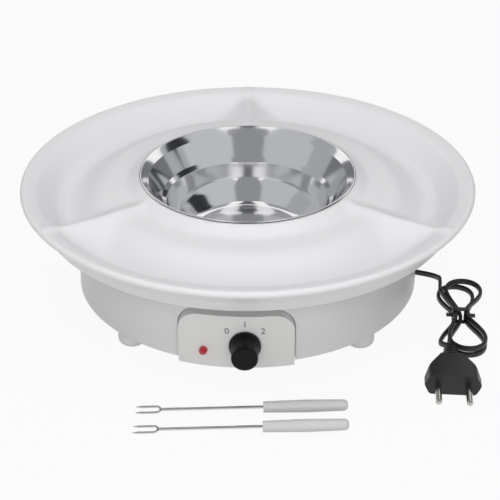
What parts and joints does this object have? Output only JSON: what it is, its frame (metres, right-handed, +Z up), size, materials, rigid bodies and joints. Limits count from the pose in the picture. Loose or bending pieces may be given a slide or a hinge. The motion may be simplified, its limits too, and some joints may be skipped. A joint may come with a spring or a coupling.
{
  "type": "electric fondue pot",
  "caption": "Electric fondue pot: a round heated base with a dial, a polished steel bowl set in a divided serving tray, long forks, and a mains lead tied in a hank.",
  "frame": {"origin": "on the pot's vertical axis, at the level of the table on which the rubber pads stand", "axes": "+Z up along the pot's axis; the knob, the indicator and the forks are at -Y; the mains lead leaves at +X"},
  "size_m": [0.3091, 0.3229, 0.0882],
  "materials": {
    "base_plastic": "polished moulding, pale grey",
    "panel_plastic": "satin moulding, pale grey",
    "tray_plastic": "satin moulding, near white",
    "pad_rubber": "moulded",
    "screw_steel": "zinc plated",
    "zinc_steel": "pressed sheet",
    "nickel_plate": "nickel plated",
    "knob_plastic": "satin moulding, black",
    "switch_plastic": "moulded, black",
    "lens_red": "red tinted resin",
    "board_green": "resin board",
    "plate_aluminium": "turned, bare",
    "element_mica": "mica sheets round a wound strip",
    "insulation_felt": "pressed mineral felt",
    "thermostat_body": "moulded, brown",
    "sleeve_fibre": "woven glass sleeve",
    "terminal_plastic": "moulded, cream",
    "wire_brown": "soft insulation",
    "wire_blue": "soft insulation",
    "wire_white": "soft insulation",
    "bowl_steel": "mirror-polished stainless steel",
    "fork_steel": "polished",
    "handle_plastic": "polished moulding, off white",
    "cord_black": "satin, black",
    "tie_black": "plastic covered wire",
    "pin_nickel": "nickel plated brass"
  },
  "bodies": {
    "base": {"housing": "base_plastic", "bottom_cover": "base_plastic", "foot_pads": "pad_rubber", "cover_screws": "screw_steel", "control_panel": "panel_plastic", "panel_screws": "screw_steel", "rotary_switch": "switch_plastic", "switch_nut": "nickel_plate", "indicator_lens": "lens_red", "indicator_board": "board_green", "heating_plate": "plate_aluminium", "heating_element": "element_mica", "heater_insulation": "insulation_felt", "clamping_plate": "zinc_steel", "heater_screws": "screw_steel", "thermostat": "thermostat_body", "thermostat_screws": "screw_steel", "thermal_fuse": "sleeve_fibre", "fuse_strap": "zinc_steel", "terminal_block": "terminal_plastic", "cord_clamp": "switch_plastic", "clamp_screws": "screw_steel", "live_wires": "wire_brown", "neutral_wires": "wire_blue", "heater_wires": "wire_white", "cord_boot": "cord_black", "cord_inside": "cord_black", "cord_lead": "cord_black", "cord_hank": "cord_black", "cord_tie": "tie_black", "cord_tail": "cord_black", "plug_body": "cord_black", "plug_pins": "pin_nickel"},
    "knob_group": {"knob": "knob_plastic", "switch_shaft": "nickel_plate"},
    "tray_group": {"tray": "tray_plastic"},
    "bowl_group": {"bowl": "bowl_steel"},
    "fork_1_group": {"fork_1": "fork_steel", "fork_1_handle": "handle_plastic"},
    "fork_2_group": {"fork_2": "fork_steel", "fork_2_handle": "handle_plastic"}
  },
  "joints": [
    {"name": "knob_turn", "type": "hinge", "parent": "base", "child": "knob_group", "pos_m": [0, -0.1195, 0.0288], "axis": [0, 1, 0], "range_deg": [-50, 50]},
    {"name": "tray_lift_off", "type": "slide", "parent": "base", "child": "tray_group", "axis": [0, 0, 1], "range_m": [0, 0.06]},
    {"name": "bowl_lift_out", "type": "slide", "parent": "tray_group", "child": "bowl_group", "axis": [0, 0, 1], "range_m": [0, 0.06]},
    {"name": "fork_1_lift", "type": "slide", "parent": "base", "child": "fork_1_group", "axis": [0, 0, 1], "range_m": [0, 0.06]},
    {"name": "fork_2_lift", "type": "slide", "parent": "base", "child": "fork_2_group", "axis": [0, 0, 1], "range_m": [0, 0.06]}
  ]
}
